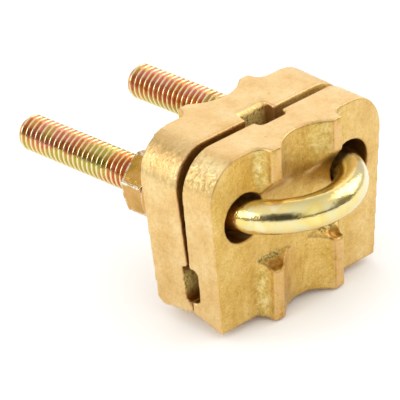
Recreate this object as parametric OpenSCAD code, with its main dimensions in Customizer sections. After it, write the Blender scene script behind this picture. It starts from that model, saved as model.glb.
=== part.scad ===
// Ground rod connector: two cast plates with crossing cable grooves between them,
// drawn together on a threaded U-bolt that holds a ground rod in the ribbed channel.
// Millimetres, +Z up, +Y from the rod towards the nuts. The origin is at the foot of the
// rod channel: mid-width, on the front plate's flat face, at the level the part stands on.

/* [Ground rod seat] */
// Radius of the hollow channel that the ground rod lies in
channel_r = 11.2; // [9:0.1:18]
// Height of the ribs that wall the channel, above the plate's flat face
rib_h = 3.2; // [2:0.1:4.5]
// Width of the flat crest along each rib
rib_crest_w = 2.9; // [1.5:0.1:4.5]
// Radius of the hollow flank along the outside of each rib
rib_flank_r = 2.7; // [0.5:0.1:4]
// Height of the crest's lower end on the upper ribs, above the U-bolt
upper_rib_rise = 6.8; // [6:0.1:10]
// Length over which the upper ribs run out below that end
upper_rib_runout = 3.6; // [1:0.1:5]
// Radius in the hollow foot of that run-out
upper_runout_r = 2; // [0.5:0.1:2.5]
// Depth of the crest's upper end on the lower ribs, below the U-bolt
lower_rib_drop = 13.3; // [8:0.1:16]
// Length over which the lower ribs run out above that end
lower_rib_runout = 1.7; // [0.5:0.1:4]
// Radius of the round hollow in each lower run-out
rib_scoop_r = 2; // [1:0.1:2.4]
// Depth of that hollow
rib_scoop_depth = 1; // [0.4:0.1:1.4]
// Distance from the crest's end up the run-out to the middle of that hollow
rib_scoop_rise = 1.3; // [0.8:0.1:1.8]
// Bevel along the lower end of each crest
rib_foot_bevel = 0.6; // [0.3:0.1:1.2]

/* [Plates] */
// Thickness of the front plate under its ribs
front_t = 8.05; // [6:0.05:12]
// Thickness of the back plate under its ribs
back_t = 10.2; // [7:0.05:14]
// Metal between each leg hole and the plate's side
side_wall = 3.7; // [2.5:0.1:8]
// Outward lean of the sides, in degrees
side_draft = 4.6; // [0:0.1:8]
// Height of the U-bolt above the level that the part stands on
leg_z = 25.7; // [23:0.1:32]
// Height of the plates' top above the U-bolt
crown_h = 14.8; // [12:0.1:20]
// Radius of the plates' top corners
corner_r = 8.8; // [3:0.1:12]
// Fall of the front plate's underside towards its ribs, in degrees
front_foot_slope = 18.5; // [5:0.5:22]
// Fall of the back plate's underside towards its ribs, in degrees
back_foot_slope = 3; // [0:0.5:10]
// Bevel along the front plate's lower outer edge
front_foot_bevel = 0.6; // [0.3:0.1:2]
// Bevel along the back plate's lower outer edge
back_foot_bevel = 1.4; // [0.3:0.1:2]
// Fall of the front plate's top towards its ribs, in degrees
front_top_slope = 2.5; // [0:0.5:6]
// Rise of the back plate's top towards its ribs, in degrees
back_top_slope = 7; // [0:0.5:10]
// Angle by which the back plate stands open on its heel, in degrees
open_angle = 3.2; // [1:0.1:4]
// Gap between the plates at their heel
heel_gap = 0.1; // [0.05:0.01:0.3]

/* [Cable grooves] */
// Width of the upright cable groove
upright_w = 8.4; // [5:0.1:12]
// Depth of the upright groove in the front plate
upright_front_d = 1.9; // [1:0.1:3.5]
// Depth of the upright groove in the back plate
upright_back_d = 2.5; // [1:0.1:4]
// Height of the cross groove's middle above the level that the part stands on
cross_z = 10.5; // [9:0.1:13]
// Height of the cross groove
cross_h = 8; // [5:0.1:9]
// Depth of the cross groove in the front plate
cross_front_d = 2.2; // [1:0.1:3.5]
// Depth of the cross groove in the back plate
cross_back_d = 1.6; // [1:0.1:3.5]
// Radius in the floor corners of the front plate's grooves
front_groove_r = 1.5; // [0.3:0.1:1.8]
// Radius in the floor corners of the back plate's grooves
back_groove_r = 0.6; // [0.2:0.1:1.5]
// Fall of the cross groove's lower wall in the back plate, towards the front plate
cross_lip_fall = 1.2; // [0.4:0.1:2]
// Bevel at the top mouth of the back plate's upright groove
mouth_bevel = 0.5; // [0.3:0.1:2]

/* [U-bolt] */
// Outside diameter of the threaded legs
thread_d = 7.94; // [6:0.01:10]
// Diameter of the bare rod in the bend
bend_d = 7.3; // [5:0.05:9]
// Distance between the middles of the two legs
leg_spacing = 33; // [29:0.1:42]
// Depth of the bend's centre behind the front plate's flat face
bend_setback = 7.25; // [3:0.05:7.8]
// Distance from the front plate's flat face to the leg tips
leg_reach = 63; // [48:0.5:90]
// Length of the thread on each leg
thread_len = 45; // [34:0.5:50]
// Distance from one thread crest to the next
thread_pitch = 1.411; // [1:0.001:2.5]
// Depth of the thread, drawn as rings
thread_depth = 0.8; // [0.3:0.05:1]
// Width of the flat on each thread crest
thread_flat = 0.2; // [0.1:0.05:0.5]
// Height of the bevel at the leg tips
tip_bevel = 1.2; // [0.3:0.1:2]
// Gap between each leg and its hole in the plates
leg_clearance = 1.3; // [0.4:0.05:2]
// Gap between the bend and the front plate's holes
bend_clearance = 0.25; // [0.1:0.05:1]

/* [Nuts and washers] */
// Width of the nuts across flats
nut_af = 12.7; // [11.5:0.1:17]
// Height of the nuts
nut_h = 6.6; // [4:0.1:10]
// Width of the round end faces of the nuts
nut_face_d = 12.1; // [11:0.1:16]
// Angle of the bevel on the corners of the nuts, in degrees
nut_bevel_angle = 30; // [15:1:45]
// Width of the bevel at both mouths of the nuts' bores
nut_mouth = 0.5; // [0.2:0.1:1]
// Turn of the nuts on their legs, in degrees
nut_turn = 45; // [0:1:59]
// Gap between each nut and its leg's thread crests
nut_clearance = 0.05; // [0.02:0.01:0.1]
// Width by which the spring washers stand out past the flats of the nuts
washer_rim = 1.05; // [0.3:0.05:3]
// Thickness of the spring washers
washer_t = 1.9; // [1:0.1:3]
// Gap between each spring washer and its leg
washer_clearance = 0.25; // [0.1:0.05:0.6]
// Width of the slit in the spring washers
washer_slit = 1; // [0.4:0.1:2]
// Slant of the slit through the washer, in degrees
slit_angle = 30; // [0:1:45]
// Gap where a washer meets the plate or the nut
seat_gap = 0.05; // [0.02:0.01:0.2]
// Room round each washer where it lies between the ribs
seat_margin = 0.6; // [0.3:0.1:2]

/* [Hidden] */
$fn = 72;
left = -1;
right = 1;
cast_brass = "#d9b565";
yellow_zinc = "#c9b96a";

// U-bolt and its holes
bend_r = leg_spacing / 2;
hole_d = thread_d + 2 * leg_clearance;
bend_inner_r = bend_r - bend_d / 2;
bend_inner_x = sqrt(pow(bend_inner_r, 2) - pow(bend_setback, 2));
hole_relief = max(0, bend_r - hole_d / 2 - bend_inner_x + bend_clearance);

// Ribs and plates
channel_half = sqrt(2 * channel_r * rib_h - pow(rib_h, 2));
rib_outer_x = channel_half + rib_crest_w;
flank_r = min(rib_flank_r, rib_h);
half_w = bend_r + hole_d / 2 + side_wall;
top_z = leg_z + crown_h;
heel_z = (front_t + rib_h) * tan(front_foot_slope);
margin = 5;

// Rest of the back plate against the washers
washer_od = nut_af + 2 * washer_rim;
pivot_y = front_t + heel_gap / 2;
washer_y = pivot_y + (back_t + heel_gap / 2) / cos(open_angle)
    + (leg_z + washer_od / 2 - heel_z) * tan(open_angle) + seat_gap;
nut_y = washer_y + washer_t + seat_gap;

// Outline of a plate seen from the rod's side, with round top corners
module plate_outline() {
    centre_z = top_z - corner_r;
    centre_x = half_w + (centre_z - leg_z) * tan(side_draft) - corner_r / cos(side_draft);
    side_x = centre_x + corner_r * cos(side_draft);
    side_z = centre_z - corner_r * sin(side_draft);
    foot_x = half_w - (leg_z + margin) * tan(side_draft);
    polygon([
        [-foot_x, -margin], [foot_x, -margin],
        [side_x, side_z], [centre_x, top_z],
        [-centre_x, top_z], [-side_x, side_z]
    ]);
    for (side = [left, right])
        translate([side * centre_x, centre_z])
            circle(corner_r);
}

// Section of the rib pair: flat crests, hollow flanks outside and the rod channel inside
module rib_section() {
    difference() {
        union() {
            translate([-rib_outer_x, -margin])
                square([2 * rib_outer_x, margin + rib_h]);
            translate([-rib_outer_x - flank_r, -margin])
                square([2 * (rib_outer_x + flank_r), margin + flank_r]);
        }
        for (side = [left, right])
            translate([side * (rib_outer_x + flank_r), flank_r])
                circle(flank_r);
        translate([0, channel_r])
            circle(channel_r);
    }
}

// Side view of the band across the U-bolt where the ribs are gone, with their run-outs
module rib_break() {
    upper_end = leg_z + upper_rib_rise;
    upper_foot = upper_end - upper_rib_runout;
    lower_end = leg_z - lower_rib_drop;
    runout_angle = atan(rib_h / upper_rib_runout);
    hollow = upper_runout_r * tan(runout_angle / 2);
    polygon([
        [0, lower_end + lower_rib_runout], [2 * rib_h, lower_end - lower_rib_runout],
        [2 * rib_h, upper_end + upper_rib_runout],
        [hollow * sin(runout_angle), upper_foot + hollow * cos(runout_angle)],
        [upper_runout_r, upper_foot - hollow], [0, upper_foot - hollow]
    ]);
    translate([upper_runout_r, upper_foot - hollow])
        circle(upper_runout_r);
}

// Round hollows in the run-outs of the lower ribs
module rib_scoops() {
    run_angle = atan(rib_h / lower_rib_runout);
    off = rib_scoop_r - rib_scoop_depth;
    for (side = [left, right])
        translate([
            side * (channel_half + rib_crest_w / 2),
            rib_h - rib_scoop_rise * sin(run_angle) + off * cos(run_angle),
            leg_z - lower_rib_drop + rib_scoop_rise * cos(run_angle) + off * sin(run_angle)
        ])
            sphere(rib_scoop_r);
}

// Draws a side view out across the whole width
module across() {
    translate([-2 * half_w, 0, 0])
        rotate([90, 0, 90])
            linear_extrude(4 * half_w)
                children();
}

// Section of a cable groove, open downwards, with round floor corners
module groove_section(width, depth, floor_r) {
    translate([-width / 2, -margin])
        square([width, margin + depth - floor_r]);
    translate([-width / 2 + floor_r, -margin])
        square([width - 2 * floor_r, margin + depth]);
    for (side = [left, right])
        translate([side * (width / 2 - floor_r), depth - floor_r])
            circle(floor_r);
}

// Square bar that bevels a plate's lower edge at face_y, from the middle or beside the ribs
module lower_edge(t, foot_slope, face_y, bevel, inner_x) {
    for (side = [left, right])
        translate([side * (inner_x + half_w), face_y, heel_z - (face_y + t) * tan(foot_slope)])
            rotate([45, 0, 0])
                cube([2 * half_w, sqrt(2) * bevel, sqrt(2) * bevel], center = true);
}

// A plate in its own frame: flat outer face at y = 0, ribs towards +y, inner face at y = -t
module plate(t, foot_slope, foot_bevel, top_slope) {
    difference() {
        intersection() {
            union() {
                translate([-2 * half_w, -t, -margin])
                    cube([4 * half_w, t, top_z + 3 * margin]);
                difference() {
                    translate([0, 0, -margin])
                        linear_extrude(top_z + 3 * margin)
                            rib_section();
                    across()
                        rib_break();
                    rib_scoops();
                }
            }
            translate([0, -t, top_z])
                rotate([top_slope, 0, 0])
                    translate([0, t + 2 * rib_h + margin, -top_z])
                        rotate([90, 0, 0])
                            linear_extrude(2 * (t + rib_h + margin))
                                plate_outline();
        }
        translate([0, -t, heel_z])
            rotate([-foot_slope, 0, 0])
                translate([-2 * half_w, -2 * t, -4 * margin])
                    cube([4 * half_w, 4 * t + 2 * rib_h, 4 * margin]);
        lower_edge(t, foot_slope, 0, foot_bevel, rib_outer_x + flank_r / 2);
        lower_edge(t, foot_slope, rib_h, rib_foot_bevel, -margin);
    }
}

// Round hole for a leg through a plate, lengthened towards the middle by relief
module leg_holes(t, relief) {
    length = t + rib_h + 2 * margin;
    for (side = [left, right])
        translate([side * bend_r, rib_h + margin, leg_z])
            rotate([90, 0, 0]) {
                cylinder(d = hole_d, h = length);
                if (relief > 0) {
                    translate([-side * relief, 0, 0])
                        cylinder(d = hole_d, h = length);
                    translate([-side * relief / 2 - relief / 2, -hole_d / 2, 0])
                        cube([relief, hole_d, length]);
                }
            }
}

// The upright and the cross cable groove in a plate's inner face
module cable_grooves(t, upright_d, cross_d, floor_r) {
    translate([0, -t, -margin])
        linear_extrude(top_z + 3 * margin)
            groove_section(upright_w, upright_d, floor_r);
    across()
        translate([-t, cross_z])
            rotate(-90)
                groove_section(cross_h, cross_d, floor_r);
}

module front_plate() {
    color(cast_brass)
        rotate(180)
            difference() {
                plate(front_t, front_foot_slope, front_foot_bevel, -front_top_slope);
                leg_holes(front_t, hole_relief);
                cable_grooves(front_t, upright_front_d, cross_front_d, front_groove_r);
            }
}

module back_plate() {
    color(cast_brass)
        translate([0, pivot_y, heel_z])
            rotate([-open_angle, 0, 0])
                translate([0, heel_gap / 2 + back_t, -heel_z])
                    difference() {
                        plate(back_t, back_foot_slope, back_foot_bevel, back_top_slope);
                        leg_holes(back_t, 0);
                        cable_grooves(back_t, upright_back_d, cross_back_d, back_groove_r);
                        groove_mouth();
                        groove_lip();
                        washer_seats();
                    }
}

// Bevel where the upright groove leaves the top of the back plate
module groove_mouth() {
    floor_y = upright_back_d - back_t;
    translate([-upright_w / 2, 0, 0])
        rotate([90, 0, 90])
            linear_extrude(upright_w)
                polygon([
                    [floor_y - mouth_bevel, top_z + 2 * mouth_bevel],
                    [floor_y - mouth_bevel, top_z - mouth_bevel],
                    [floor_y, top_z - mouth_bevel],
                    [floor_y + 2 * mouth_bevel, top_z + mouth_bevel],
                    [floor_y + 2 * mouth_bevel, top_z + 2 * mouth_bevel]
                ]);
}

// Slope that lets the back plate's cross groove fall towards the front plate
module groove_lip() {
    wall_z = cross_z - cross_h / 2;
    run = cross_back_d - back_groove_r;
    across()
        polygon([
            [run - back_t, wall_z], [run - back_t, wall_z + cross_h / 2],
            [-margin - back_t, wall_z + cross_h / 2],
            [-margin - back_t, wall_z - cross_lip_fall * (run + margin) / run]
        ]);
}

// Flat seats that keep the ribs clear of the washers and nuts
module washer_seats() {
    for (side = [left, right])
        translate([side * bend_r, 0, leg_z])
            rotate([-90, 0, 0])
                cylinder(d = washer_od + 2 * seat_margin, h = rib_h + margin);
}

// One leg from the bend to its tip: bare shank, run-out, thread rings and bevelled tip
module u_bolt_leg() {
    length = leg_reach - bend_setback;
    crest_r = thread_d / 2;
    first = length - thread_len + crest_r - bend_d / 2;
    last = length - tip_bevel - thread_flat;
    rings = floor((last - first) / thread_pitch);
    rotate([-90, 0, 0])
        rotate_extrude()
            polygon(concat(
                [[0, 0], [bend_d / 2, 0], [bend_d / 2, length - thread_len]],
                [
                    for (ring = [0 : rings - 1], point = [
                        [crest_r, 0], [crest_r, thread_flat],
                        [crest_r - thread_depth, (thread_pitch + thread_flat) / 2]
                    ])
                        point + [0, first + ring * thread_pitch]
                ],
                [
                    [crest_r, first + rings * thread_pitch], [crest_r, length - tip_bevel],
                    [crest_r - tip_bevel, length], [0, length]
                ]
            ));
}

module u_bolt() {
    color(yellow_zinc)
        translate([0, bend_setback, leg_z]) {
            rotate(180)
                rotate_extrude(angle = 180)
                    translate([bend_r, 0])
                        circle(d = bend_d);
            for (side = [left, right])
                translate([side * bend_r, 0, 0])
                    u_bolt_leg();
        }
}

// Hexagon nut along +z with bevelled corners at both ends and a clear bore
module hex_nut() {
    corner = nut_af / cos(30) / 2;
    face_r = min(nut_face_d, nut_af) / 2;
    bevel = (corner - face_r) * tan(nut_bevel_angle);
    bore_r = thread_d / 2 + nut_clearance;
    flare = nut_mouth + margin;
    difference() {
        intersection() {
            cylinder(r = corner, h = nut_h, $fn = 6);
            rotate_extrude()
                polygon([
                    [0, 0], [face_r, 0], [corner, bevel],
                    [corner, nut_h - bevel], [face_r, nut_h], [0, nut_h]
                ]);
        }
        rotate_extrude()
            polygon([
                [0, -margin], [bore_r + flare, -margin], [bore_r, nut_mouth],
                [bore_r, nut_h - nut_mouth], [bore_r + flare, nut_h + margin], [0, nut_h + margin]
            ]);
    }
}

// Split spring washer along +z
module lock_washer() {
    difference() {
        cylinder(d = washer_od, h = washer_t);
        translate([0, 0, -margin])
            cylinder(d = thread_d + 2 * washer_clearance, h = washer_t + 2 * margin);
        rotate([slit_angle, 0, 90])
            translate([0, -washer_slit / 2, -washer_od])
                cube([washer_od, washer_slit, 2 * washer_od]);
    }
}

module on_leg(side, y) {
    translate([side * bend_r, y, leg_z])
        rotate([-90, 0, 0])
            children();
}

module left_nut() {
    color(yellow_zinc) on_leg(left, nut_y) rotate(-nut_turn) hex_nut();
}

module right_nut() {
    color(yellow_zinc) on_leg(right, nut_y) rotate(-nut_turn) hex_nut();
}

module left_lock_washer() {
    color(yellow_zinc) on_leg(left, washer_y) lock_washer();
}

module right_lock_washer() {
    color(yellow_zinc) on_leg(right, washer_y) lock_washer();
}

front_plate();
back_plate();
u_bolt();
left_nut();
right_nut();
left_lock_washer();
right_lock_washer();
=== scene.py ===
"""Looks of a ground rod connector: cast brass plates drawn together on a yellow zinc U-bolt."""

import logging
import math
from dataclasses import dataclass
from enum import Enum

import bmesh
import bpy
from mathutils import Matrix, Vector


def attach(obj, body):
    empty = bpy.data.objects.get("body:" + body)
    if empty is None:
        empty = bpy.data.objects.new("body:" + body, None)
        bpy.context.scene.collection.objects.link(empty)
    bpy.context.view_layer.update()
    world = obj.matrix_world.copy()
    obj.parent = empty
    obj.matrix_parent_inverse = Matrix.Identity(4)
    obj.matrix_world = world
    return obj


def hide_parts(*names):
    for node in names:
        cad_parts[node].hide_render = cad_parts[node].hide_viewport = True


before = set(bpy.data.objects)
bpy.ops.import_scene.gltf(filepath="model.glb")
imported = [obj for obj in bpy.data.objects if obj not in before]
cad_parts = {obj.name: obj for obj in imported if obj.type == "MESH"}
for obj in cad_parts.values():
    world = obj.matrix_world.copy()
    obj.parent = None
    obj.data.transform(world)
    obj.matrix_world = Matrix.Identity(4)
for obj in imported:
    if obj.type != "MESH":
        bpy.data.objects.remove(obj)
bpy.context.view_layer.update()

MM = 0.001
# Points of a CAD mesh closer than this, in mm, are one point.
CAD_JOIN = 0.001
log = logging.getLogger("ground_rod_connector")

Socket = bpy.types.NodeSocket
Inputs = dict[str | int, Socket | float | tuple[float, ...]]
# A stretch runs from one value to another, and a spell is one stretch in and one out.
Stretch = tuple[float, float]
Spell = tuple[Stretch, Stretch]
# Middle and half width in degrees, and strength.
Band = tuple[float, float, float]

# Sockets of a Mix node for colours: share, colour below, colour above and result.
SHARE, UNDER, OVER, MIXED = 0, 6, 7, 2
MIX_COLOURS = {"data_type": "RGBA"}
WHITE = (1.0, 1.0, 1.0, 1.0)

PLATE_ATTRIBUTES = ("wear", "patina_and_shade", "oxide", "ground", "wrinkle", "dull_and_shaded", "painted_highlight", "flank", "crease_shade")
ZINC_ATTRIBUTES = ("depth", "rubbed", "chipped", "pale_end_share")


class Side(Enum):
    """The two legs of the U-bolt, seen from the rod."""

    LEFT = -1
    RIGHT = 1


class ZincWear(Enum):
    """How the passivated zinc of a piece shows."""

    BRIGHT_ROD = "bright_rod"
    WRENCHED_NUT = "wrenched_nut"


def linear(shade: str) -> tuple[float, float, float, float]:
    """Turn an sRGB hex value into linear colour.

    Args:
        shade: Colour such as "#d9b565".

    Returns:
        Linear red, green, blue and an alpha of 1.
    """
    parts = [int(shade[i : i + 2], 16) / 255 for i in (1, 3, 5)]
    red, green, blue = (c / 12.92 if c <= 0.04045 else ((c + 0.055) / 1.055) ** 2.4 for c in parts)
    return red, green, blue, 1.0


def per_mm(size: float) -> float:
    """Texture scale, in Object coordinates, of a pattern of this size in millimetres."""
    return 1 / (size * MM)


def add_node(
    tree: bpy.types.NodeTree,
    kind: str,
    settings: dict[str, object] | None = None,
    inputs: Inputs | None = None,
    ramp: list[tuple[float, str]] | None = None,
) -> bpy.types.Node:
    """Add one node with its settings, links and colour stops.

    Args:
        tree: Node tree that gets the node.
        kind: Node type, such as "ShaderNodeMath".
        settings: Node properties to set.
        inputs: Input names or numbers, each with a value or the socket that feeds it.
        ramp: Colour stops of a colour ramp, from low to high.

    Returns:
        The new node.
    """
    node = tree.nodes.new(kind)
    for name, value in (settings or {}).items():
        setattr(node, name, value)
    for key, value in (inputs or {}).items():
        if isinstance(value, Socket):
            tree.links.new(value, node.inputs[key])
        else:
            node.inputs[key].default_value = value
    if ramp:
        stops = node.color_ramp.elements
        for stop, (place, shade) in zip((stops[0], stops[1]), (ramp[0], ramp[-1])):
            stop.position, stop.color = place, linear(shade)
        for place, shade in ramp[1:-1]:
            stops.new(place).color = linear(shade)
    return node


def new_material(name: str) -> tuple[bpy.types.Material, bpy.types.NodeTree]:
    """Start an empty node material.

    Args:
        name: Common name of the real material.

    Returns:
        The material and its cleared node tree.
    """
    material = bpy.data.materials.new(name)
    material.use_nodes = True
    material.node_tree.nodes.clear()
    return material, material.node_tree


@dataclass(frozen=True)
class Pattern:
    """One noise of a finish: its size in mm and how it is drawn."""

    name: str
    size: float
    octaves: float
    roughness: float = 0.5
    distortion: float = 0.0
    draw: tuple[float, float, float] | None = None


@dataclass(frozen=True)
class Step:
    """A value that follows another one: from start to end as that goes from low to high."""

    name: str
    source: str
    low: float = 0.0
    high: float = 1.0
    start: float = 0.0
    end: float = 1.0


@dataclass(frozen=True)
class Tone:
    """Colours that a noise spreads over a finish."""

    name: str
    noise: str
    stops: tuple[tuple[float, str], ...]


@dataclass(frozen=True)
class Coat:
    """Colour on part of a finish: its share, its shade or the name of its tone, and what breaks it up."""

    share: str
    shade: str
    break_up: str = ""
    blend: str = "MIX"


def new_finish(
    name: str,
    patterns: tuple[Pattern, ...],
    attributes: tuple[str, ...],
    steps: tuple[Step, ...],
    tones: tuple[Tone, ...],
) -> tuple[bpy.types.Material, bpy.types.NodeTree, dict[str, Socket]]:
    """Start a metal with its noises, what it reads from the piece, and what follows from them.

    Args:
        name: Common name of the real material.
        patterns: Its noises.
        attributes: Names of the piece's attributes that it reads.
        steps: Values that follow those.
        tones: Colours that follow the noises.

    Returns:
        The material, its node tree, and by name the place and all of these.
    """
    material, tree = new_material(name)
    place = add_node(tree, "ShaderNodeTexCoord").outputs["Object"]
    read = {"place": place}
    for pattern in patterns:
        drawn = place
        if pattern.draw:
            drawn = add_node(
                tree, "ShaderNodeVectorMath", {"operation": "MULTIPLY"}, {0: place, 1: pattern.draw}
            ).outputs["Vector"]
        read[pattern.name] = add_node(
            tree,
            "ShaderNodeTexNoise",
            inputs={
                "Vector": drawn,
                "Scale": per_mm(pattern.size),
                "Detail": pattern.octaves,
                "Roughness": pattern.roughness,
                "Distortion": pattern.distortion,
            },
        ).outputs["Fac"]
    for attribute in attributes:
        node = add_node(tree, "ShaderNodeAttribute", {"attribute_name": attribute})
        read[attribute] = node.outputs["Fac"]
    for step in steps:
        read[step.name] = add_node(
            tree,
            "ShaderNodeMapRange",
            inputs={
                "Value": read[step.source],
                "From Min": step.low,
                "From Max": step.high,
                "To Min": step.start,
                "To Max": step.end,
            },
        ).outputs["Result"]
    for tone in tones:
        read[tone.name] = add_node(
            tree, "ShaderNodeValToRGB", inputs={"Fac": read[tone.noise]}, ramp=list(tone.stops)
        ).outputs["Color"]
    return material, tree, read


def lay_coats(
    tree: bpy.types.NodeTree, read: dict[str, Socket], colour: Socket, coats: tuple[Coat, ...]
) -> Socket:
    """Lay coats of colour over each other.

    Args:
        tree: Node tree of the finish.
        read: Its values by name. The share of a coat that is broken up takes the place of the whole.
        colour: Colour under the coats.
        coats: The coats, from the lowest up.

    Returns:
        The colour on top.
    """
    for coat in coats:
        if coat.break_up:
            read[coat.share] = add_node(
                tree,
                "ShaderNodeMath",
                {"operation": "MULTIPLY"},
                {0: read[coat.share], 1: read[coat.break_up]},
            ).outputs[0]
        over = linear(coat.shade) if coat.shade.startswith("#") else read[coat.shade]
        colour = add_node(
            tree,
            "ShaderNodeMix",
            MIX_COLOURS | {"blend_type": coat.blend},
            {SHARE: read[coat.share], UNDER: colour, OVER: over},
        ).outputs[MIXED]
    return colour


def end_finish(
    tree: bpy.types.NodeTree, inputs: Inputs, bumps: tuple[tuple[Socket | float, float, Socket], ...] = ()
) -> None:
    """End a material: raise its surface and give its shader the rest.

    Args:
        tree: Node tree of the finish.
        inputs: Inputs of the shader.
        bumps: Strength, depth in mm and height of each relief, from the lowest up.
    """
    normal = {}
    for strength, depth, height in bumps:
        relief = {"Strength": strength, "Distance": depth * MM, "Height": height}
        bump = add_node(tree, "ShaderNodeBump", inputs=relief | normal)
        normal = {"Normal": bump.outputs["Normal"]}
    shader = add_node(tree, "ShaderNodeBsdfPrincipled", inputs=inputs | normal).outputs["BSDF"]
    add_node(tree, "ShaderNodeOutputMaterial", inputs={"Surface": shader})


@dataclass(frozen=True)
class CastBrass:
    """Sand-cast brass, tumbled: a satin gold with a fine grain, brown in its recesses, part of it painted
    shade, and painted light on some faces. Sizes in mm.
    """

    stain_shade_edge: Stretch = (0.18, 0.95)
    stain_shade_break: float = 0.5
    pit_spacing: float = 3.2
    pit_edge: Stretch = (0.075, 0.045)
    pit_share: float = 0.35
    # Oxide inside the grooves scatters more light than the bare brass does.
    metallic: Stretch = (0.9, 0.35)
    gloss: float = 0.3
    gloss_gone: float = 0.8
    gloss_roughness: float = 0.4
    scuff_relief: float = 1.6
    sand_depth: float = 0.07
    fold_depth: float = 0.35
    patterns: tuple[Pattern, ...] = (
        # The grain is the print of the moulding sand, drawn a little coarse so that it shows.
        Pattern("grain", 0.5, 2.0, 0.58),
        Pattern("painted_glint", 0.36, 1.0, 0.58),
        Pattern("scuff", 1.3, 3.0, 0.58),
        Pattern("blotch", 6.0, 4.0, 0.58),
        # Wrinkles run round the corners: short across the plate, long along the curve.
        Pattern("fold", 1.0, 2.0, 0.58, draw=(0.7, 1.15, 0.7)),
    )
    steps: tuple[Step, ...] = (
        Step("glint_share", "ground", 1.0, 0.0),
        Step("sanded", "ground", start=0.34, end=0.2),
        Step("clouded", "ground", start=0.28, end=0.1),
        Step("relief", "ground", start=0.9, end=0.45),
        Step("polish", "grain", start=0.28, end=0.52),
        Step("dull_shade_break", "fold", 0.62, 0.4, end=0.75),
        Step("painted_highlight_break", "fold", 0.35, 0.6, end=0.9),
        Step("crease_shade_break", "grain", 0.56, 0.42, end=0.8),
        Step("painted_glint_break", "painted_glint", 0.6, 0.72, end=0.4),
        Step("oxide_break", "grain", 0.33, 0.52),
        Step("worn", "wear", 0.1, 0.9, end=0.8),
        Step("worn_break", "scuff", 0.38, 0.6),
    )
    tones: tuple[Tone, ...] = (
        Tone("face_tone", "blotch", ((0.32, "#d0a84a"), (0.5, "#e0bb62"), (0.68, "#eacb7c"))),
        Tone("ground_lit_tone", "blotch", ((0.32, "#e1ba7a"), (0.5, "#e8c78e"), (0.68, "#edd3a0"))),
        Tone("lit_flank_tone", "scuff", ((0.32, "#c2a240"), (0.5, "#dcc470"), (0.68, "#f2e6b0"))),
        Tone("sand_tone", "grain", ((0.3, "#a99563"), (0.46, "#e8dfc6"), (0.62, "#ffffff"))),
        Tone("cloud_tone", "scuff", ((0.34, "#c2a260"), (0.52, "#fff8e6"), (0.7, "#ffffff"))),
    )
    coats: tuple[Coat, ...] = (
        # The ground rim and rib tops are paler, most of all on top faces as painted light.
        Coat("ground", "ground_lit_tone"),
        # Painted light on the hollow flanks of the ribs, where their fillets catch the light, pale and
        # uneven.
        Coat("flank", "lit_flank_tone"),
        Coat("sanded", "sand_tone", blend="MULTIPLY"),
        # The faces that were not ground keep faint brown clouds from the mould.
        Coat("clouded", "cloud_tone", blend="MULTIPLY"),
        # The corners have matt, wrinkled bands, darkened further as painted shade, and one plate has a
        # painted highlight above them.
        Coat("dull_and_shaded", "#b89e62", "dull_shade_break"),
        Coat("painted_highlight", "#ffe8ac", "painted_highlight_break"),
        # Painted shade in the crease at the foot of a rib, in single dark specks.
        Coat("crease_shade", "#66551a", "crease_shade_break"),
        # Painted glints: bright specks on the faces that were not ground.
        Coat("glint_share", "#fbe9b4", "painted_glint_break"),
        # The oxide in the grooves is a broken crust, with bare brass between its grains.
        Coat("oxide", "#fbe694", "oxide_break"),
        # Brown patina and painted shade in the recesses, and the crests and edges are rubbed pink.
        Coat("stain_and_shade", "#9a5f12"),
        Coat("worn", "#dfb17f", "worn_break"),
        # Pits are pin holes left by gas in the casting.
        Coat("pricked", "#8a6a34"),
    )

    def material(self) -> bpy.types.Material:
        """Make the material.

        Returns:
            Brass that reads the plates' own attributes.
        """
        material, tree, read = new_finish(
            "sand_cast_brass", self.patterns, PLATE_ATTRIBUTES, self.steps, self.tones
        )
        self._recesses(tree, read)
        colour = lay_coats(tree, read, read["face_tone"], self.coats)
        metallic = add_node(
            tree,
            "ShaderNodeMapRange",
            inputs={"Value": read["oxide"], "To Min": self.metallic[0], "To Max": self.metallic[1]},
        ).outputs["Result"]
        gloss = add_node(
            tree,
            "ShaderNodeMapRange",
            inputs={
                "Value": read["stain_and_shade"],
                "From Min": self.gloss_gone,
                "From Max": 0.0,
                "To Max": self.gloss,
            },
        ).outputs["Result"]
        sand = add_node(
            tree,
            "ShaderNodeMath",
            {"operation": "MULTIPLY_ADD"},
            {0: read["scuff"], 1: self.scuff_relief, 2: read["grain"]},
        ).outputs[0]
        inputs = {
            "Base Color": colour,
            "Metallic": metallic,
            "Roughness": read["polish"],
            "Coat Weight": gloss,
            "Coat Roughness": self.gloss_roughness,
        }
        bumps = (
            (read["relief"], self.sand_depth, sand),
            (read["wrinkle"], self.fold_depth, read["fold"]),
        )
        end_finish(tree, inputs, bumps)
        return material

    def _recesses(self, tree: bpy.types.NodeTree, read: dict[str, Socket]) -> None:
        """Find where brown lies in the recesses, partly as painted shade, and where the pits are.

        Args:
            tree: Node tree of the brass.
            read: Its values by name, which get the shares of both.
        """
        broken = add_node(
            tree,
            "ShaderNodeMath",
            {"operation": "MULTIPLY_ADD"},
            {0: read["scuff"], 1: self.stain_shade_break, 2: -self.stain_shade_break / 2},
        ).outputs[0]
        stain_shade_sum = add_node(
            tree, "ShaderNodeMath", {"operation": "ADD", "use_clamp": True}, {0: read["patina_and_shade"], 1: broken}
        ).outputs[0]
        pit = add_node(
            tree,
            "ShaderNodeTexVoronoi",
            {"feature": "F1"},
            {"Vector": read["place"], "Scale": per_mm(self.pit_spacing), "Randomness": 1.0},
        ).outputs["Distance"]
        for name, value, edge, top in (
            ("stain_and_shade", stain_shade_sum, self.stain_shade_edge, 1.0),
            ("pricked", pit, self.pit_edge, self.pit_share),
        ):
            read[name] = add_node(
                tree,
                "ShaderNodeMapRange",
                inputs={"Value": value, "From Min": edge[0], "From Max": edge[1], "To Max": top},
            ).outputs["Result"]


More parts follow.
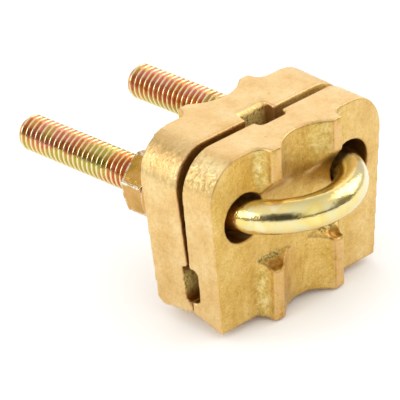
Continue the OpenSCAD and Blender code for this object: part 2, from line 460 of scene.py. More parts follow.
@dataclass(frozen=True)
class YellowZinc:
    """Yellow passivated zinc on steel: a glossy film that shimmers pink and green. Sizes in mm."""

    wear: ZincWear
    film: tuple[str, ...]
    valley_film_shade: tuple[str, ...]
    crest: str = "#f0e4b6"
    pale_end: str = "#d6d2bc"
    drift: float = 5.0
    patch: float = 2.2
    shade_range: Stretch = (0.3, 0.7)
    # Faces that look down shift the colours deep in the thread towards the low end of their ramp.
    down_edge: Stretch = (0.35, -0.5)
    down_shift: float = -0.24
    valley_roughness: float = 0.14
    uneven_strength: float = 0.9
    uneven_depth: float = 0.05
    mark_strength: float = 0.6
    mark_depth: float = 0.03
    steps: tuple[Step, ...] = (
        # The depth below a thread's crest tells the valleys from the crests.
        Step("sunk", "depth", 0.1, 0.3),
        Step("high", "depth", 0.32, 0.1),
        Step("flaked", "chip", 0.46, 0.54),
        Step("marked", "mark", 0.5, 0.72),
        Step("polish", "patch", start=0.1, end=0.27),
    )

    def material(self) -> bpy.types.Material:
        """Make the material.

        Returns:
            Zinc film that reads the pieces' depth, rubbed, chipped and pale-end attributes.
        """
        patterns = (
            Pattern("drift", self.drift, 2.0, distortion=0.3),
            Pattern("patch", self.patch, 2.0, distortion=0.4),
            Pattern("chip", 1.2, 3.0, 0.65),
            # The rod was drawn through a die, which leaves it very slightly uneven.
            Pattern("uneven", 1.8, 3.0, 0.6),
            # The die also left short marks along the bend.
            Pattern("mark", 0.8, 1.0, draw=(0.4, 1.0, 1.0)),
        )
        tones = (Tone("film_tone", "drift", self._spread(self.film)),)
        material, tree, read = new_finish(
            f"yellow_zinc_{self.wear.value}", patterns, ZINC_ATTRIBUTES, self.steps, tones
        )
        normal = add_node(tree, "ShaderNodeNewGeometry").outputs["Normal"]
        lift = add_node(tree, "ShaderNodeSeparateXYZ", inputs={"Vector": normal}).outputs["Z"]
        low, high = self.down_edge
        down_shifted = add_node(
            tree,
            "ShaderNodeMapRange",
            inputs={"Value": lift, "From Min": low, "From Max": high, "To Max": self.down_shift},
        ).outputs["Result"]
        # Thread crests are rubbed. Along the edges a spanner chipped the film, and bare zinc shows in flecks.
        thread_pick, ridge, fleck = (
            add_node(tree, "ShaderNodeMath", {"operation": operation}, {0: one, 1: other}).outputs[0]
            for operation, one, other in (
                ("ADD", read["patch"], down_shifted),
                ("MULTIPLY", read["rubbed"], read["high"]),
                ("MULTIPLY", read["chipped"], read["flaked"]),
            )
        )
        read["valley_film_shade_tone"] = add_node(
            tree, "ShaderNodeValToRGB", inputs={"Fac": thread_pick}, ramp=list(self._spread(self.valley_film_shade))
        ).outputs["Color"]
        read["pale"] = add_node(
            tree, "ShaderNodeMath", {"operation": "MAXIMUM"}, {0: ridge, 1: fleck}
        ).outputs[0]
        # Deep in the thread the film's own pink and green colours are darkened as painted shade.
        coats = (Coat("pale_end_share", self.pale_end), Coat("sunk", "valley_film_shade_tone"), Coat("pale", self.crest))
        colour = lay_coats(tree, read, read["film_tone"], coats)
        polish = add_node(
            tree,
            "ShaderNodeMath",
            {"operation": "MULTIPLY_ADD"},
            {0: read["sunk"], 1: self.valley_roughness, 2: read["polish"]},
        ).outputs[0]
        bumps = (
            (self.uneven_strength, self.uneven_depth, read["uneven"]),
            (self.mark_strength, self.mark_depth, read["marked"]),
        )
        end_finish(tree, {"Base Color": colour, "Metallic": 1.0, "Roughness": polish}, bumps)
        return material

    def _spread(self, shades: tuple[str, ...]) -> tuple[tuple[float, str], ...]:
        """Spread colours over the middle of a noise.

        Args:
            shades: Colours from low to high.

        Returns:
            Their colour stops.
        """
        low, high = self.shade_range
        step = (high - low) / (len(shades) - 1)
        return tuple((low + step * i, shade) for i, shade in enumerate(shades))


def node_copy(node: str) -> bmesh.types.BMesh:
    """Copy a CAD node's mesh with its triangles joined.

    Args:
        node: Name of the CAD node.

    Returns:
        The copy, in metres.
    """
    bm = bmesh.new()
    bm.from_mesh(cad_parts[node].data)
    bmesh.ops.remove_doubles(bm, verts=bm.verts, dist=CAD_JOIN * MM)
    return bm


def put_piece(
    name: str, bm: bmesh.types.BMesh, material: bpy.types.Material, body: str, node: str
) -> bpy.types.Object:
    """Make a finished mesh into a piece that stands for a CAD node.

    Args:
        name: Name of the piece.
        bm: Its mesh, which is freed.
        material: Its finish.
        body: CAD body that it moves with.
        node: CAD node that it stands for.

    Returns:
        The new object.
    """
    mesh = bpy.data.meshes.new(name)
    bm.to_mesh(mesh)
    bm.free()
    mesh.materials.clear()
    mesh.materials.append(material)
    piece = bpy.data.objects.new(name, mesh)
    bpy.context.scene.collection.objects.link(piece)
    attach(piece, body)
    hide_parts(node)
    log.info("%s: %d faces", name, len(mesh.polygons))
    return piece


def smoothstep(low: float, high: float, value: float) -> float:
    """Ease a value from 0 at low to 1 at high."""
    t = min(1.0, max(0.0, (value - low) / (high - low)))
    return t * t * (3 - 2 * t)


def spell(stretches: Spell, value: float) -> float:
    """Ease a value in over the first stretch and out again over the second."""
    rise, fall = stretches
    return smoothstep(*rise, value) * (1 - smoothstep(*fall, value))


def band_strength(bands: tuple[Band, ...], turn: float) -> float:
    """Tell how far a surface is in one of the bands round a corner.

    Args:
        bands: The bands.
        turn: Angle of the surface from facing up, in degrees.

    Returns:
        Strength there.
    """
    return max([0.0, *(top * (1 - abs(turn - middle) / half) for middle, half, top in bands)])


@dataclass(frozen=True)
class Spot:
    """One point of a plate in the plate's own frame, in mm, and how the surface lies there.

    Depth is measured from the parting face, height from the flat outer face. Facing, rise and
    across tell how far the surface faces outwards, up and sideways, and lost what tumbling took.
    """

    x: float
    depth: float
    height: float
    z: float
    facing: float
    rise: float
    across: float
    lost: float

    @property
    def side(self) -> float:
        """Distance from the middle of the plate."""
        return abs(self.x)


@dataclass(frozen=True)
class PlateLook:
    """Where a tumbled plate is worn, stained or matt, and where light and shade are painted on it. Places in
    mm, facings and strengths from 0 to 1.
    """

    # Tumbling wears the edges, and the crests of the ribs more than their run-outs.
    full_wear: float = 0.12
    slab_edge: Stretch = (-0.3, 0.1)
    crest_edge: Stretch = (-0.5, -0.15)
    crest_wear: float = 0.72
    runout_kept: float = 0.8
    # Brown patina stays in hollows, darkened further as painted shade; painted shade fills the leg holes and
    # the gap, and lies as thin painted shadow lines beside worn edges.
    hollow_patina_shade: float = 0.5
    hole_edge: Stretch = (-0.1, 0.35)
    inner_facing: Stretch = (0.6, 0.95)
    groove_from: float = 0.4
    gap_shade: float = 0.75
    beside_shade: float = 0.5
    beside_lost: Spell = ((0.12, 0.3), (0.4, 0.7))
    beside_facing: Stretch = (0.3, 0.6)
    # Painted light at the upper right of the gap: less painted shade there, and more of the pale oxide.
    gap_light: float = 0.35
    gap_light_up: Stretch = (22.0, 38.0)
    gap_light_across: Stretch = (-2.0, 12.0)
    groove_oxide: float = 0.9
    gap_oxide: float = 0.1
    # The rim was ground, but not where the ribs are broken off; its top faces are paler still as painted
    # light, and one plate's right side is paler as painted light.
    rim_facing: Stretch = (0.5, 0.85)
    side_ground: float = 0.7
    top_rise: Stretch = (0.3, 0.9)
    rib_top_rise: Stretch = (0.6, 0.9)
    break_up: Spell = ((10.5, 11.5), (34.0, 36.0))
    break_out: Stretch = (0.0, 0.4)
    lit_side_across: Stretch = (11.0, 19.0)
    lit_side_facing: Stretch = (0.6, 0.9)
    # Wrinkles lie round the corners and on the floors of the grooves.
    corner_facing: Stretch = (0.12, 0.4)
    groove_wrinkle: float = 0.8
    # Painted shade: brown on the walls of the grooves.
    lip: float = 0.1
    wall_slack: float = 0.3
    wall_facing: float = 0.5
    upright_shade: float = 0.7
    upright_from: float = 1.2
    cross_shade: Stretch = (0.12, 0.95)
    cross_from: float = 0.8
    cross_to: float = 0.4
    # Run-out of a lower rib, and the rough line along its foot.
    runout_up: Spell = ((11.8, 12.2), (14.2, 14.6))
    runout_across: Spell = ((6.6, 7.4), (10.9, 11.4))
    runout_out: Stretch = (0.2, 0.6)
    runout_crest: Stretch = (-0.4, -0.15)
    # Painted shade in the hollow of the run-out.
    runout_shade: float = 0.66
    runout_clean: Stretch = (13.0, 14.2)
    foot_reach: Stretch = (0.35, 0.75)
    foot_out: Stretch = (0.7, 1.3)
    foot_across: Spell = ((5.5, 6.5), (12.0, 13.0))
    foot_pale: float = 0.8
    face_slack: float = 0.2
    # Painted light on the hollow flanks along the ribs, and the pale top of the rod channel.
    flank_slack: float = 0.1
    flank_facing: Stretch = (0.05, 0.3)
    flank_light: float = 0.8
    flank_across: Spell = ((10.7, 11.5), (11.8, 14.8))
    flank_break: Spell = ((11.6, 12.8), (30.0, 33.0))
    channel_pale: float = 0.5
    channel_across: Spell = ((2.0, 5.0), (7.0, 7.8))
    channel_up: Stretch = (31.0, 35.0)
    # Painted shade: brown in the channel above the bend.
    shade: float = 0.4
    shade_up: Spell = ((1.0, 3.0), (4.5, 6.5))
    shade_across: Stretch = (9.5, 11.5)


@dataclass
class CastPlate:
    """One cast plate of the clamp, with ribs outside and cable grooves inside. Sizes in mm."""

    node: str
    thickness: float
    inner_y: float
    outward: int
    parting_passes: int
    dull_shade_bands: tuple[Band, ...]
    painted_highlight_bands: tuple[Band, ...] = ()
    lean: float = 0.0
    lit_side_pale: float = 0.0
    heel_z: float = 3.764
    leg_x: float = 16.5
    leg_z: float = 25.7
    hole_r: float = 5.27
    rib_h: float = 3.2
    runout_z: float = 14.2
    groove_z: float = 10.5
    groove_half: float = 4.2
    groove_depth: float = 3.2
    voxel: float = 0.3
    parting_depth: float = 0.9
    outer_passes: int = 5
    tumbling: float = 0.5
    look: PlateLook = PlateLook()

    def build(self, finish: bpy.types.Material) -> bpy.types.Object:
        """Cast the plate: a fine skin over the CAD shape, with its edges tumbled soft.

        Args:
            finish: Brass of the plate.

        Returns:
            The dressed plate.
        """
        bm = self._skin()
        before = [v.co.copy() for v in bm.verts]
        parting = [v for v in bm.verts if self._local(v.co)[1] < self.parting_depth]
        outside = [v for v in bm.verts if self._local(v.co)[1] >= self.parting_depth]
        axes = {f"use_axis_{axis}": True for axis in "xyz"}
        for verts, passes in ((parting, self.parting_passes), (outside, self.outer_passes)):
            for _ in range(passes):
                bmesh.ops.smooth_vert(bm, verts=verts, factor=self.tumbling, **axes)
        bm.normal_update()
        layers = {name: bm.verts.layers.float.new(name) for name in PLATE_ATTRIBUTES}
        for v, old in zip(bm.verts, before):
            for name, strength in self._marks(self._spot(v, old)).items():
                v[layers[name]] = strength
        for face in bm.faces:
            face.smooth = True
        return put_piece(f"cast_{self.node}", bm, finish, self.node, self.node)

    def _skin(self) -> bmesh.types.BMesh:
        """Cover the CAD shape with an even skin of small faces.

        Returns:
            The skin.
        """
        bm = node_copy(self.node)
        mesh = bpy.data.meshes.new("casting")
        bm.to_mesh(mesh)
        casting = bpy.data.objects.new("casting", mesh)
        bpy.context.scene.collection.objects.link(casting)
        remesh = casting.modifiers.new("skin", "REMESH")
        remesh.mode = "VOXEL"
        remesh.voxel_size = self.voxel * MM
        graph = bpy.context.evaluated_depsgraph_get()
        skin = casting.evaluated_get(graph).to_mesh()
        bm.clear()
        bm.from_mesh(skin)
        bpy.data.objects.remove(casting)
        bpy.data.meshes.remove(mesh)
        return bm

    def _local(self, point: Vector) -> tuple[float, float, float]:
        """Place of a point in the plate's own frame.

        Args:
            point: Point in metres.

        Returns:
            Width, depth outwards from the parting face and height, in mm.
        """
        x, y, z = point / MM
        y, z = y - self.inner_y, z - self.heel_z
        turned_y = y * math.cos(self.lean) - z * math.sin(self.lean)
        turned_z = y * math.sin(self.lean) + z * math.cos(self.lean)
        return x, self.outward * turned_y, turned_z + self.heel_z

    def _spot(self, v: bmesh.types.BMVert, old: Vector) -> Spot:
        """Take stock of one vertex of the tumbled skin.

        Args:
            v: The vertex.
            old: Its place before tumbling.

        Returns:
            Its spot on the plate.
        """
        x, depth, z = self._local(v.co)
        turn_sin, turn_cos = math.sin(self.lean), math.cos(self.lean)
        return Spot(
            x=x,
            depth=depth,
            height=depth - self.thickness,
            z=z,
            facing=self.outward * (v.normal.y * turn_cos - v.normal.z * turn_sin),
            rise=v.normal.y * turn_sin + v.normal.z * turn_cos,
            across=abs(v.normal.x),
            lost=(old - v.co).dot(v.normal) / (self.look.full_wear * MM),
        )

    def _marks(self, spot: Spot) -> dict[str, float]:
        """Tell how strongly the marks of casting, grinding and wear, and the painted light and shade, show at
        a spot.

        Args:
            spot: The spot.

        Returns:
            Strength of each attribute.
        """
        look = self.look
        deep = spot.depth > look.groove_from
        slab = 1 - smoothstep(*look.slab_edge, spot.height)
        inner = smoothstep(*look.inner_facing, -spot.facing)
        # Painted shade darkens the leg holes.
        hole = 1 - smoothstep(
            *look.hole_edge, math.hypot(spot.side - self.leg_x, spot.z - self.leg_z) - self.hole_r
        )
        crest = look.crest_wear * smoothstep(*look.crest_edge, spot.height - self.rib_h)
        # Brown in hollows is patina, darkened as painted shade; the thin brown lines beside worn edges are
        # painted shadow.
        hollow = look.hollow_patina_shade * max(0.0, min(1.0, -spot.lost))
        beside = look.beside_shade * spell(look.beside_lost, spot.lost)
        beside *= smoothstep(*look.beside_facing, spot.facing)
        if deep:
            gap_shading, oxide, floor = 0.0, look.groove_oxide, look.groove_wrinkle * inner
        else:
            # In the gap the brown is painted shade, lifted by painted light at its upper right.
            gap_light = look.gap_light * smoothstep(*look.gap_light_up, spot.z) * smoothstep(*look.gap_light_across, spot.x)
            gap_shading, oxide, floor = inner * (look.gap_shade - gap_light), look.gap_oxide + gap_light, 0.0
        # The foot line also carries painted shade, as dark specks in its crease.
        foot = self._foot(spot)
        corner = smoothstep(*look.corner_facing, spot.across) * smoothstep(*look.corner_facing, spot.rise)
        # The flank tone is painted light on the hollow flanks of the ribs, and it is also laid along the foot
        # line.
        flank = max(self._flank(spot), look.foot_pale * foot)
        # The matt bands round the corners are darkened as painted shade, and the bright bands above them are
        # a painted highlight.
        turn = math.degrees(math.atan2(spot.across, spot.rise))
        return {
            "wear": max(0.0, min(1.0, spot.lost), crest) * (1 - look.runout_kept * self._runout(spot)),
            "patina_and_shade": max(hollow, hole, gap_shading, beside, self._groove_shade(spot), self._runout_bend_shade(spot)),
            "oxide": inner * oxide * (1 - hole),
            "ground": self._ground_and_lit(spot, slab),
            "wrinkle": max(foot, slab * corner, floor),
            "dull_and_shaded": slab * band_strength(self.dull_shade_bands, turn),
            "painted_highlight": slab * band_strength(self.painted_highlight_bands, turn),
            "flank": smoothstep(*look.flank_facing, spot.facing) * flank,
            "crease_shade": foot,
        }

    def _ground_and_lit(self, spot: Spot, slab: float) -> float:
        """Tell how pale a spot is: the ground rim of the plate and the tops of the ribs, paler on top as
        painted light, and one plate's right side, paler as painted light.

        Args:
            spot: The spot.
            slab: Share of the slab there, which is 0 on the ribs.

        Returns:
            Share of the pale ground tone, partly painted light.
        """
        look = self.look
        # Painted light on the right side of one plate.
        pale = self.lit_side_pale * smoothstep(*look.lit_side_across, spot.x)
        pale *= smoothstep(*look.lit_side_facing, spot.facing)
        rim = slab * (look.side_ground + (1 - look.side_ground) * smoothstep(*look.top_rise, spot.rise))
        broken = spell(look.break_up, spot.z) * smoothstep(*look.break_out, spot.height)
        rib_top = smoothstep(*look.rib_top_rise, spot.rise) * (1 - broken)
        return pale + max(rim, rib_top) * smoothstep(*look.rim_facing, math.hypot(spot.across, spot.rise))

    def _groove_shade(self, spot: Spot) -> float:
        """Painted shade: brown along the walls of the two cable grooves.

        Args:
            spot: The spot.

        Returns:
            Share of brown, from 0 to 1.
        """
        look = self.look
        if not look.lip < spot.depth < self.groove_depth:
            return 0.0
        reach = self.groove_half + look.wall_slack
        if spot.side < reach:
            if spot.rise > look.wall_facing:
                return 0.0
            return look.upright_shade * smoothstep(look.upright_from, self.groove_half, spot.side)
        off = abs(spot.z - self.groove_z)
        if spot.across > look.wall_facing or off > reach:
            return 0.0
        least, most = look.cross_shade
        return least + (most - least) * smoothstep(look.cross_from, self.groove_half - look.cross_to, off)

    def _runout(self, spot: Spot) -> float:
        """Tell how far a spot is in the run-out of a lower rib.

        Args:
            spot: The spot.

        Returns:
            Share from 0, outside it, to 1.
        """
        look = self.look
        sunk = smoothstep(*look.runout_out, spot.height)
        sunk *= 1 - smoothstep(*look.runout_crest, spot.height - self.rib_h)
        return sunk * spell(look.runout_up, spot.z) * spell(look.runout_across, spot.side)

    def _flank(self, spot: Spot) -> float:
        """Tell how pale a spot is: painted light in the hollow flank outside a rib, or the pale top of the
        channel.

        Args:
            spot: The spot.

        Returns:
            Share of the pale tone, from 0 to 1.
        """
        look = self.look
        if spot.height < -look.flank_slack:
            return 0.0
        flank = spell(look.flank_across, spot.side) * (1 - spell(look.flank_break, spot.z))
        channel = spell(look.channel_across, spot.side) * smoothstep(*look.channel_up, spot.z)
        return max(look.flank_light * flank, look.channel_pale * channel)

    def _foot(self, spot: Spot) -> float:
        """Rough line along the foot of a lower rib's run-out.

        Args:
            spot: The spot.

        Returns:
            Strength of the line, from 0 to 1.
        """
        look = self.look
        if spot.height <= -look.face_slack:
            return 0.0
        near = 1 - smoothstep(*look.foot_reach, abs(spot.z - self.runout_z))
        low = 1 - smoothstep(*look.foot_out, spot.height)
        return near * low * spell(look.foot_across, spot.side)

    def _runout_bend_shade(self, spot: Spot) -> float:
        """Painted shade: brown in the hollow run-out of a lower rib, and in the channel above the bend.

        Args:
            spot: The spot.

        Returns:
            Share of brown, from 0 to 1.
        """
        look = self.look
        if spot.height < -look.face_slack:
            return 0.0
        behind = look.runout_shade * self._runout(spot) * (1 - smoothstep(*look.runout_clean, spot.z))
        shade = look.shade * spell(look.shade_up, spot.z - self.leg_z)
        return max(behind, shade * (1 - smoothstep(*look.shade_across, spot.side)))


@dataclass
class UBolt:
    """U-bolt: bare bend and two legs with a rolled 5/16-18 thread. Sizes in mm."""

    rod_d: float = 7.3
    thread_d: float = 7.94
    thread_depth: float = 0.84
    pitch: float = 25.4 / 18
    flank_angle: float = 30.0
    crest_flat: float = 0.32
    crest_soft: float = 0.07
    spacing: float = 33.0
    leg_z: float = 25.7
    bend_y: float = 7.25
    thread_y: float = 18.0
    tip_y: float = 63.0
    tip_bevel: float = 1.2
    rod_overlap: float = 0.4
    rod_sides: int = 40
    bend_steps: int = 72
    turn_steps: int = 48
    # Points this close are joined: between turns, and at the tip where the bevel pushes them together.
    turn_join: float = 0.002
    tip_join: float = 0.03
    cut_slack: float = 0.0005
    # A face with more corners than this is the sawn end of a leg.
    end_corners: int = 8
    rub: float = 0.78
    pale_end: float = 0.7
    pale_end_across: Stretch = (4.0, 16.0)

    def build(self, finish: bpy.types.Material) -> bpy.types.Object:
        """Bend the rod and roll both threads.

        Args:
            finish: Zinc film of the U-bolt.

        Returns:
            The dressed U-bolt.
        """
        bm = bmesh.new()
        depth = bm.verts.layers.float.new("depth")
        rubbed = bm.verts.layers.float.new("rubbed")
        pale_end_share = bm.verts.layers.float.new("pale_end_share")
        self._bend(bm)
        # The film is paler towards the right end of the bend.
        for v in bm.verts:
            v[pale_end_share] = self.pale_end * smoothstep(*self.pale_end_across, v.co.x / MM)
        for side in Side:
            self._thread(bm, side, depth, rubbed)
        for face in bm.faces:
            face.smooth = True
        # The legs were sawn off, so their ends are flat with a crisp rim.
        for end in (f for f in bm.faces if len(f.verts) > self.end_corners):
            end.smooth = False
            for edge in end.edges:
                edge.smooth = False
        return put_piece("zinc_u_bolt", bm, finish, "u_bolt", "u_bolt")

    def _bend(self, bm: bmesh.types.BMesh) -> None:
        """Draw the bare rod from one leg round the bend to the other.

        Args:
            bm: Mesh that gets the rod.
        """
        ring = bmesh.ops.create_circle(
            bm, cap_ends=True, segments=self.rod_sides, radius=self.rod_d / 2 * MM
        )["verts"]
        rod_end = self.thread_y + self.rod_overlap
        stand = Matrix.Translation(Vector((-self.spacing / 2, rod_end, self.leg_z)) * MM)
        bmesh.ops.transform(bm, matrix=stand @ Matrix.Rotation(math.radians(90), 4, "X"), verts=ring)
        bm.normal_update()
        cap = bm.faces[:]
        straight = Vector((0, self.bend_y - rod_end, 0)) * MM
        edges = self._extrude(bm, [e for f in cap for e in f.edges], straight)
        spun = bmesh.ops.spin(
            bm,
            geom=edges,
            cent=Vector((0, self.bend_y, self.leg_z)) * MM,
            axis=(0, 0, 1),
            angle=math.pi,
            steps=self.bend_steps,
        )["geom_last"]
        ends = self._extrude(bm, [g for g in spun if isinstance(g, bmesh.types.BMEdge)], -straight)
        bmesh.ops.holes_fill(bm, edges=ends, sides=0)
        bmesh.ops.recalc_face_normals(bm, faces=bm.faces)

    @staticmethod
    def _extrude(
        bm: bmesh.types.BMesh, edges: list[bmesh.types.BMEdge], by: Vector
    ) -> list[bmesh.types.BMEdge]:
        """Extrude a ring of edges.

        Args:
            bm: Mesh of the ring.
            edges: The ring.
            by: Way that the new ring moves.

        Returns:
            The new ring.
        """
        made = bmesh.ops.extrude_edge_only(bm, edges=edges)["geom"]
        verts = [g for g in made if isinstance(g, bmesh.types.BMVert)]
        bmesh.ops.translate(bm, verts=verts, vec=by)
        fresh = set(verts)
        return [
            g for g in made if isinstance(g, bmesh.types.BMEdge) and all(v in fresh for v in g.verts)
        ]

    def _thread(
        self,
        rod: bmesh.types.BMesh,
        side: Side,
        depth: bmesh.types.BMLayerItem,
        rubbed: bmesh.types.BMLayerItem,
    ) -> None:
        """Roll the thread of one leg, bevel its tip and add it to the rod.

        Args:
            rod: Mesh that gets the thread.
            side: Leg that the thread is on.
            depth: Layer for the depth below the crest, from 0 to 1.
            rubbed: Layer that marks where the high parts are rubbed.
        """
        axis = Vector((side.value * self.spacing / 2, 0, self.leg_z))
        bm = self._coil(axis)
        for v in bm.verts:
            x, y, z = v.co / MM - axis
            inwards = self._limit(y) / math.hypot(x, z)
            if inwards < 1:
                v.co = (axis + Vector((x * inwards, y, z * inwards))) * MM
        tip = [v for v in bm.verts if v.co.y > (self.tip_y - self.tip_bevel) * MM]
        bmesh.ops.remove_doubles(bm, verts=tip, dist=self.tip_join * MM)
        bmesh.ops.holes_fill(bm, edges=[e for e in bm.edges if e.is_boundary], sides=0)
        bmesh.ops.recalc_face_normals(bm, faces=bm.faces)
        mesh = bpy.data.meshes.new("thread")
        bm.to_mesh(mesh)
        bm.free()
        count = len(rod.verts)
        rod.from_mesh(mesh)
        bpy.data.meshes.remove(mesh)
        rod.verts.ensure_lookup_table()
        for v in rod.verts[count:]:
            x, y, z = v.co / MM - axis
            sunk = (self._limit(y) - math.hypot(x, z)) / self.thread_depth
            v[depth] = min(1.0, max(0.0, sunk))
            v[rubbed] = self.rub

    def _limit(self, y: float) -> float:
        """Greatest radius along a leg, which falls away in the bevel at its tip."""
        return self.thread_d / 2 - max(0.0, y - (self.tip_y - self.tip_bevel))

    def _coil(self, axis: Vector) -> bmesh.types.BMesh:
        """Spin one pitch of the thread's profile along a helix, repeat it and cut it to length.

        Args:
            axis: A point on the leg's axis.

        Returns:
            The open coil.
        """
        top, root = self.thread_d / 2, self.thread_d / 2 - self.thread_depth
        flank = self.thread_depth * math.tan(math.radians(self.flank_angle))
        flat, soft = self.crest_flat, self.crest_soft
        fall, climb = flat + flank, self.pitch - flank
        profile = [
            (top - soft, 0), (top, soft), (top, flat - soft), (top - soft, flat),
            (root + soft, fall - soft / 2), (root, fall + soft), (root, climb - soft),
            (root + soft, climb + soft / 2), (top - soft, self.pitch),
        ]
        start = self.thread_y - 2 * self.pitch
        turns = math.ceil((self.tip_y - start) / self.pitch) + 1
        bm = bmesh.new()
        points = [bm.verts.new((axis + Vector((r, start + y, 0))) * MM) for r, y in profile]
        edges = [bm.edges.new(pair) for pair in zip(points, points[1:])]
        bmesh.ops.spin(
            bm,
            geom=points + edges,
            cent=axis * MM,
            axis=(0, 1, 0),
            dvec=Vector((0, self.pitch / self.turn_steps, 0)) * MM,
            angle=math.tau,
            steps=self.turn_steps,
        )
        first_turn = bm.verts[:] + bm.edges[:] + bm.faces[:]
        for turn in range(1, turns):
            copy = bmesh.ops.duplicate(bm, geom=first_turn)["geom"]
            verts = [g for g in copy if isinstance(g, bmesh.types.BMVert)]
            bmesh.ops.translate(bm, verts=verts, vec=Vector((0, turn * self.pitch, 0)) * MM)
        bmesh.ops.remove_doubles(bm, verts=bm.verts, dist=self.turn_join * MM)
        for y, away in ((self.thread_y, -1), (self.tip_y, 1)):
            bmesh.ops.bisect_plane(
                bm,
                geom=bm.verts[:] + bm.edges[:] + bm.faces[:],
                dist=self.cut_slack * MM,
                plane_co=Vector((0, y, 0)) * MM,
                plane_no=(0, away, 0),
                clear_outer=True,
            )
        return bm


@dataclass
class NutSet:
    """Hexagon nut and spring washer on one leg. Sizes in mm."""

    side: Side
    nut_edge: float = 0.42
    washer_edge: float = 0.2
    chip_width: float = 0.45
    chip_share: float = 0.8
    flat_area: float = 20.0
    side_facing: float = 0.1
    # Angles in degrees between two faces that are one flat, and between two that need a bevel.
    flat_angle: float = 0.5
    sharp_angle: float = 20.0

    def build(self, finish: bpy.types.Material) -> list[bpy.types.Object]:
        """Break the sharp edges of the nut and of its washer.

        Args:
            finish: Zinc film of both.

        Returns:
            The dressed nut and washer.
        """
        word = self.side.name.lower()
        return [
            self._broken(f"{word}_nut", self.nut_edge, finish),
            self._broken(f"{word}_lock_washer", self.washer_edge, finish),
        ]

    def _broken(self, node: str, width: float, finish: bpy.types.Material) -> bpy.types.Object:
        """Copy a CAD node and bevel its sharp edges.

        Args:
            node: CAD node.
            width: Width of the bevel.
            finish: Its zinc film.

        Returns:
            The dressed piece.
        """
        bm = node_copy(node)
        bmesh.ops.dissolve_limit(
            bm,
            angle_limit=math.radians(self.flat_angle),
            verts=bm.verts,
            edges=bm.edges,
            use_dissolve_boundaries=False,
        )
        rubbed = bm.faces.layers.float.new("rubbed")
        least = math.radians(self.sharp_angle)
        sharp = [e for e in bm.edges if len(e.link_faces) == 2 and e.calc_face_angle() > least]
        broken = bmesh.ops.bevel(
            bm,
            geom=sharp,
            offset=width * MM,
            offset_type="OFFSET",
            affect="EDGES",
            segments=2,
            profile=0.5,
            material=-1,
            clamp_overlap=True,
        )["faces"]
        for face in broken:
            face[rubbed] = 1.0
        chipped = bm.faces.layers.float.new("chipped")
        upright = [f for f in bm.faces if abs(f.normal.y) < self.side_facing]
        flats = [f for f in upright if f.calc_area() > self.flat_area * MM * MM]
        for face in bmesh.ops.inset_individual(
            bm, faces=flats, thickness=self.chip_width * MM, use_even_offset=True
        )["faces"]:
            face[chipped] = self.chip_share
        for face in bm.faces:
            face.smooth = False
        return put_piece(f"zinc_{node}", bm, finish, f"{self.side.name.lower()}_nut", node)


@dataclass(frozen=True)
class Softbox:
    """One soft lamp. Places in mm, aimed at the middle of the object."""

    name: str
    place: tuple[float, float, float]
    width: float
    watts: float


@dataclass(frozen=True)
class Stand:
    """Part of the room that the bright zinc mirrors, by its direction and edge."""

    way: tuple[float, float, float]
    edge: tuple[float, float]
    shade: str


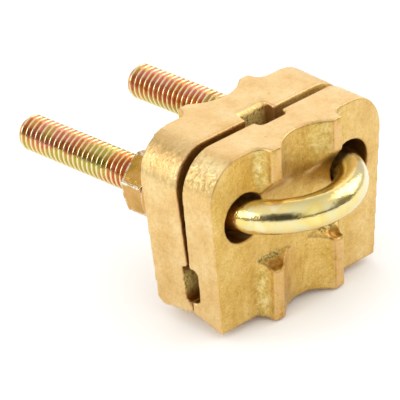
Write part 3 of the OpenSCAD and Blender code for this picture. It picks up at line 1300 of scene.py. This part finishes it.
@dataclass
class Studio:
    """Pale floor, soft lamps and the camera of the photograph. Sizes in mm."""

    aim: tuple[float, float, float] = (0.0, 20.0, 20.0)
    azimuth: float = -45.828
    elevation: float = 27.213
    roll: float = -1.745
    distance: float = 825.0
    scale: float = 4.751
    seen_at: tuple[float, float] = (228.088, 186.505)
    picture: float = 400.0
    sensor: float = 36.0
    clip: Stretch = (10.0, 20000.0)
    floor_half: float = 3000.0
    floor_drop: float = 0.05
    paper: str = "#fdfdfd"
    paper_roughness: float = 0.9
    # Shades of the walls by how far up they are.
    walls: tuple[tuple[float, str], ...] = ((0.0, "#5a5040"), (0.1, "#6a604e"), (0.26, "#ffffff"))
    softboxes: tuple[Softbox, ...] = (
        Softbox("back_softbox", (380.0, 400.0, 330.0), 480.0, 0.42),
        Softbox("corner_softbox", (-430.0, 372.0, 230.0), 260.0, 0.5),
        Softbox("left_softbox", (-480.0, 0.0, 330.0), 320.0, 0.72),
        Softbox("right_softbox", (510.0, -120.0, 350.0), 380.0, 0.95),
    )
    stands: tuple[Stand, ...] = (
        # The paler back of the room, then two dark things in it.
        Stand((-0.717, -0.697, 0.0), (0.3, -0.4), "#e6dfd0"),
        Stand((-0.584, -0.72, 0.374), (0.86, 0.95), "#3a3226"),
        Stand((0.727, -0.654, 0.208), (0.92, 0.98), "#8a7c62"),
    )

    def build(self) -> None:
        """Set the floor, world, lamps and camera."""
        bpy.context.scene.view_settings.view_transform = "Standard"
        self._floor()
        self._world()
        for box in self.softboxes:
            self._lamp(box)
        self._camera()

    def _floor(self) -> None:
        """Lay a wide matt white floor just under the ribs."""
        bm = bmesh.new()
        bmesh.ops.create_grid(bm, x_segments=1, y_segments=1, size=self.floor_half * MM)
        bmesh.ops.translate(bm, verts=bm.verts, vec=(0, 0, -self.floor_drop * MM))
        mesh = bpy.data.meshes.new("floor")
        bm.to_mesh(mesh)
        bm.free()
        material, tree = new_material("matt_white_paper")
        look = {"Base Color": linear(self.paper), "Roughness": self.paper_roughness}
        end_finish(tree, look | {"Specular IOR Level": 0.0})
        mesh.materials.append(material)
        floor = bpy.data.objects.new("floor", mesh)
        bpy.context.scene.collection.objects.link(floor)

    def _world(self) -> None:
        """Surround the object with white, which mirrors as a room with darker walls."""
        world = bpy.data.worlds.new("studio")
        bpy.context.scene.world = world
        world.use_nodes = True
        tree = world.node_tree
        tree.nodes.clear()
        ray = add_node(tree, "ShaderNodeLightPath").outputs
        seen = add_node(
            tree,
            "ShaderNodeMath",
            {"operation": "MAXIMUM"},
            {0: ray["Is Camera Ray"], 1: ray["Is Transmission Ray"]},
        ).outputs[0]
        way = add_node(tree, "ShaderNodeTexCoord").outputs["Generated"]
        up = add_node(tree, "ShaderNodeSeparateXYZ", inputs={"Vector": way}).outputs["Z"]
        room = add_node(
            tree, "ShaderNodeValToRGB", inputs={"Fac": up}, ramp=list(self.walls)
        ).outputs["Color"]
        for stand in self.stands:
            facing = add_node(
                tree, "ShaderNodeVectorMath", {"operation": "DOT_PRODUCT"}, {0: way, 1: stand.way}
            ).outputs["Value"]
            share = add_node(
                tree,
                "ShaderNodeMapRange",
                inputs={"Value": facing, "From Min": stand.edge[0], "From Max": stand.edge[1]},
            ).outputs["Result"]
            room = add_node(
                tree, "ShaderNodeMix", MIX_COLOURS, {SHARE: share, UNDER: room, OVER: linear(stand.shade)}
            ).outputs[MIXED]
        colour = WHITE
        for share, over in ((ray["Is Glossy Ray"], room), (seen, WHITE)):
            colour = add_node(
                tree, "ShaderNodeMix", MIX_COLOURS, {SHARE: share, UNDER: colour, OVER: over}
            ).outputs[MIXED]
        sky = add_node(tree, "ShaderNodeBackground", inputs={"Color": colour, "Strength": 1.0})
        add_node(tree, "ShaderNodeOutputWorld", inputs={"Surface": sky.outputs[0]})

    def _lamp(self, box: Softbox) -> None:
        """Hang one soft lamp.

        Args:
            box: The lamp's place, width and power.
        """
        light = bpy.data.lights.new(box.name, "AREA")
        light.shape = "SQUARE"
        light.size = box.width * MM
        light.energy = box.watts
        lamp = bpy.data.objects.new(box.name, light)
        lamp.location = Vector(box.place) * MM
        way = Vector(self.aim) * MM - lamp.location
        lamp.rotation_euler = way.to_track_quat("-Z", "Y").to_euler()
        lamp.visible_camera = False
        bpy.context.scene.collection.objects.link(lamp)

    def _camera(self) -> None:
        """Stand the camera where the photograph was taken from."""
        a, e, t = (math.radians(v) for v in (self.azimuth, self.elevation, self.roll))
        level = Vector((math.cos(a), math.sin(a), 0))
        rise = Vector((-math.sin(a) * math.sin(e), math.cos(a) * math.sin(e), math.cos(e)))
        back = level.cross(rise)
        right = math.cos(t) * level + math.sin(t) * rise
        up = -math.sin(t) * level + math.cos(t) * rise
        aim = Vector(self.aim)
        place = aim + self.distance * back
        middle = self.picture / 2
        off_x, off_y = (self.seen_at[0] - middle) / self.scale, (middle - self.seen_at[1]) / self.scale
        ahead = (aim - off_x * right - off_y * up - place).normalized()
        side = (right - right.dot(ahead) * ahead).normalized()
        turn = Matrix((side, side.cross(ahead), -ahead)).transposed().to_4x4()
        data = bpy.data.cameras.new("photograph")
        data.sensor_width = self.sensor
        data.lens = self.scale * self.distance / self.picture * self.sensor
        data.clip_start, data.clip_end = (end * MM for end in self.clip)
        camera = bpy.data.objects.new("photograph", data)
        camera.matrix_world = Matrix.Translation(place * MM) @ turn
        bpy.context.scene.collection.objects.link(camera)
        bpy.context.scene.camera = camera


def main() -> None:
    """Build the studio, then the plates, the U-bolt and its nuts."""
    logging.basicConfig(level=logging.INFO, format="%(name)s: %(message)s")
    Studio().build()
    brass = CastBrass().material()
    rod_zinc = YellowZinc(
        ZincWear.BRIGHT_ROD,
        film=("#f2de90", "#e8d07e", "#e2d8a2", "#eed68e", "#f3e8c0"),
        valley_film_shade=("#b0a448", "#bca04a", "#cc8a4a", "#c0653a", "#cc7a6c", "#c8705c", "#c0a050", "#96492e"),
        crest="#eed8a8",
        drift=8.0,
        patch=9.0,
    ).material()
    nut_zinc = YellowZinc(
        ZincWear.WRENCHED_NUT,
        film=("#a27c2e", "#b98f3e", "#d0a058", "#bd9642"),
        valley_film_shade=("#c98a86", "#c4703f"),
        crest="#e6e0d4",
    ).material()
    CastPlate(
        "front_plate",
        thickness=8.05,
        inner_y=8.05,
        outward=-1,
        parting_passes=1,
        dull_shade_bands=((61.0, 18.0, 2.4),),
        painted_highlight_bands=((32.0, 19.0, 1.3),),
        lit_side_pale=0.4,
    ).build(brass)
    CastPlate(
        "back_plate",
        thickness=10.2,
        inner_y=8.15,
        outward=1,
        parting_passes=9,
        dull_shade_bands=((36.0, 10.0, 1.0), (78.0, 12.0, 1.0)),
        lean=math.radians(3.2),
    ).build(brass)
    UBolt().build(rod_zinc)
    for side in Side:
        NutSet(side).build(nut_zinc)


if __name__ == "__main__":
    main()
